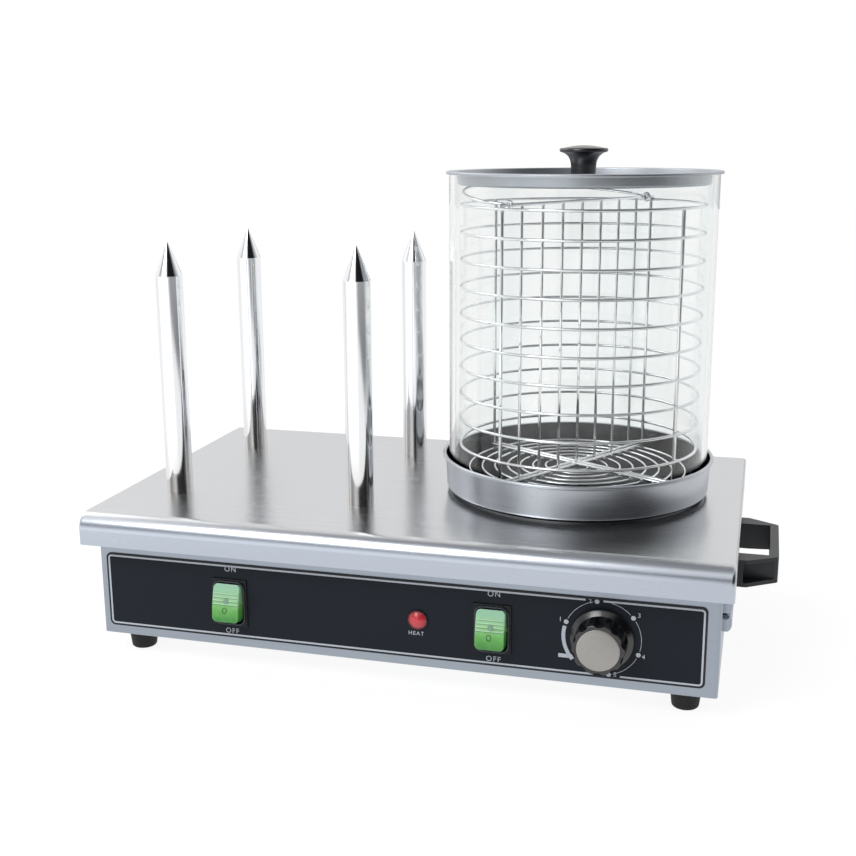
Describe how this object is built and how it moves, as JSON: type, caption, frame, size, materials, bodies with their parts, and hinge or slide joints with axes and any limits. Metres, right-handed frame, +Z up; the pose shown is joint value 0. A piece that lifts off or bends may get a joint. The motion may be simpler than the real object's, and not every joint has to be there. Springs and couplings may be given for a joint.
{
  "type": "hot dog warmer",
  "caption": "Countertop hot dog warmer: sheet-metal base with heated bun spikes, a glass sausage steamer with wire basket and lid, dial, rocker switches and side handles.",
  "frame": {"origin": "on the worktop, under the middle of the top plate", "axes": "+Z up, +X to the right as seen from the control panel, +Y to the back"},
  "size_m": [0.53, 0.309, 0.3776],
  "materials": {
    "plate_steel": "brushed along the length, satin",
    "wall_steel": "brushed satin",
    "cover_steel": "plain galvanised",
    "spike_steel": "polished, fine turning marks",
    "hot_plate_steel": "turned satin",
    "pan_steel": "spun, satin",
    "lid_steel": "spun, satin",
    "wire_steel": "polished wire",
    "zinc_steel": "zinc plated",
    "heater_metal": "heat-dulled",
    "copper": "drawn copper",
    "panel_print": "satin print",
    "black_plastic": "moulded satin",
    "knob_plastic": "moulded satin",
    "cap_metal": "satin, spun",
    "handle_plastic": "fine moulded grain",
    "foot_rubber": "matt",
    "glass": "clear, polished ends",
    "green_rocker": "clear tinted",
    "red_lens": "clear tinted",
    "ceramic": "unglazed ceramic"
  },
  "bodies": {
    "base": {"top_plate": "plate_steel", "body_shell": "wall_steel", "back_panel": "wall_steel", "bottom_cover": "cover_steel", "feet": "foot_rubber", "foot_screws": "zinc_steel", "foot_nuts": "zinc_steel", "cover_screws": "zinc_steel", "back_screws": "zinc_steel", "control_panel": "panel_print", "lamp_holder": "black_plastic", "lamp_lens": "red_lens", "thermostat_body": "zinc_steel", "thermostat_screws": "zinc_steel", "thermostat_bulb": "copper", "spike_heaters": "heater_metal", "spike_washers": "zinc_steel", "spike_nuts": "zinc_steel", "hot_plate": "hot_plate_steel", "heater_band": "heater_metal", "heater_clamp": "zinc_steel", "clamp_nuts": "zinc_steel", "handle_left": "handle_plastic", "handle_right": "handle_plastic", "handle_screws": "zinc_steel", "cable_gland": "black_plastic", "terminal_block": "ceramic", "spike_front_left": "spike_steel", "spike_front_right": "spike_steel", "spike_back_left": "spike_steel", "spike_back_right": "spike_steel", "switch_housing_left": "black_plastic", "switch_housing_right": "black_plastic"},
    "pan": {"water_pan": "pan_steel"},
    "glass": {"glass_cylinder": "glass"},
    "basket": {"basket_hoops": "wire_steel", "basket_posts": "wire_steel", "basket_divider": "wire_steel", "basket_floor": "wire_steel"},
    "bail": {"basket_bail": "wire_steel"},
    "lid": {"lid_dish": "lid_steel", "lid_knob": "knob_plastic", "lid_screw": "zinc_steel"},
    "switch_left": {"rocker_left": "green_rocker"},
    "switch_right": {"rocker_right": "green_rocker"},
    "dial": {"thermostat_knob": "knob_plastic", "knob_cap": "cap_metal", "thermostat_shaft": "zinc_steel"}
  },
  "joints": [
    {"name": "pan_lift", "type": "slide", "parent": "base", "child": "pan", "axis": [0, 0, 1], "range_m": [0, 0.05]},
    {"name": "glass_lift", "type": "slide", "parent": "pan", "child": "glass", "axis": [0, 0, 1], "range_m": [0, 0.05]},
    {"name": "basket_lift", "type": "slide", "parent": "glass", "child": "basket", "axis": [0, 0, 1], "range_m": [0, 0.26]},
    {"name": "lid_lift", "type": "slide", "parent": "basket", "child": "lid", "axis": [0, 0, 1], "range_m": [0, 0.3]},
    {"name": "bail_swing", "type": "hinge", "parent": "basket", "child": "bail", "pos_m": [0.1088, 0.018, 0.33712], "axis": [0.5, 0.866, 0], "range_deg": [0, 172]},
    {"name": "left_switch_tilt", "type": "hinge", "parent": "base", "child": "switch_left", "pos_m": [-0.1229, -0.1308, 0.0512], "axis": [1, 0, 0], "range_deg": [0, 24]},
    {"name": "right_switch_tilt", "type": "hinge", "parent": "base", "child": "switch_right", "pos_m": [0.0746, -0.1308, 0.0512], "axis": [1, 0, 0], "range_deg": [0, 24]},
    {"name": "dial_turn", "type": "hinge", "parent": "base", "child": "dial", "pos_m": [0.1509, -0.1402, 0.0521], "axis": [0, 1, 0], "range_deg": [-31, 268]}
  ],
  "couplings": [
    {"joint": "bail_swing", "follows": "lid_lift", "rad_per_m": 10}
  ]
}
